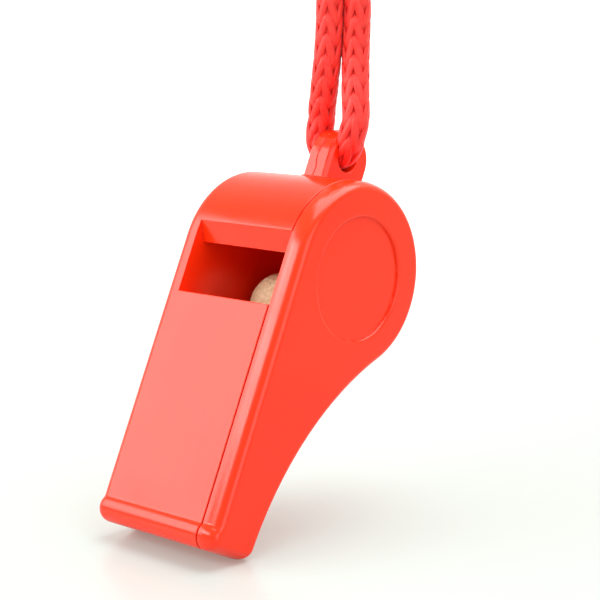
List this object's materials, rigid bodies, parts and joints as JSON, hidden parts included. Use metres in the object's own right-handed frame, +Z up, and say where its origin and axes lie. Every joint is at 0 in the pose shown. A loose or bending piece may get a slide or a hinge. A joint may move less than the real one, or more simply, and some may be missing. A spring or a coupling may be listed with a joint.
{
  "type": "training whistle",
  "caption": "Moulded plastic pea whistle with an ear for a lanyard, a separate side cover and a cork pea, hanging from a braided cord loop.",
  "frame": {"origin": "the point that holds the cord loop, under the middle of its top bend, 55.5 mm above the axis of the whistle's barrel", "axes": "+Z up along the taut cord; X along the width of the whistle, +X out of the side with the separate cover; the window and the mouthpiece face -Y and the mouthpiece points down"},
  "size_m": [0.0212, 0.0418, 0.0913],
  "materials": {
    "red_plastic": "smooth gloss moulded plastic",
    "red_plastic_cover": "smooth gloss moulded plastic",
    "cork": "matt pressed cork",
    "red_cord": "braided synthetic cord"
  },
  "bodies": {
    "lanyard": {"lanyard_cord": "red_cord"},
    "whistle": {"whistle_body": "red_plastic", "side_cover": "red_plastic_cover"},
    "pea": {"cork_pea": "cork"}
  },
  "joints": [
    {"name": "whistle_swing", "type": "hinge", "parent": "lanyard", "child": "whistle", "pos_m": [-0.0006, -0.00106, -0.04062], "axis": [-1, 0, 0], "range_deg": [0, 85]},
    {"name": "pea_orbit", "type": "hinge", "parent": "whistle", "child": "pea", "pos_m": [-0.0006, -0.0079, -0.0555], "axis": [1, 0, 0], "continuous": true}
  ]
}
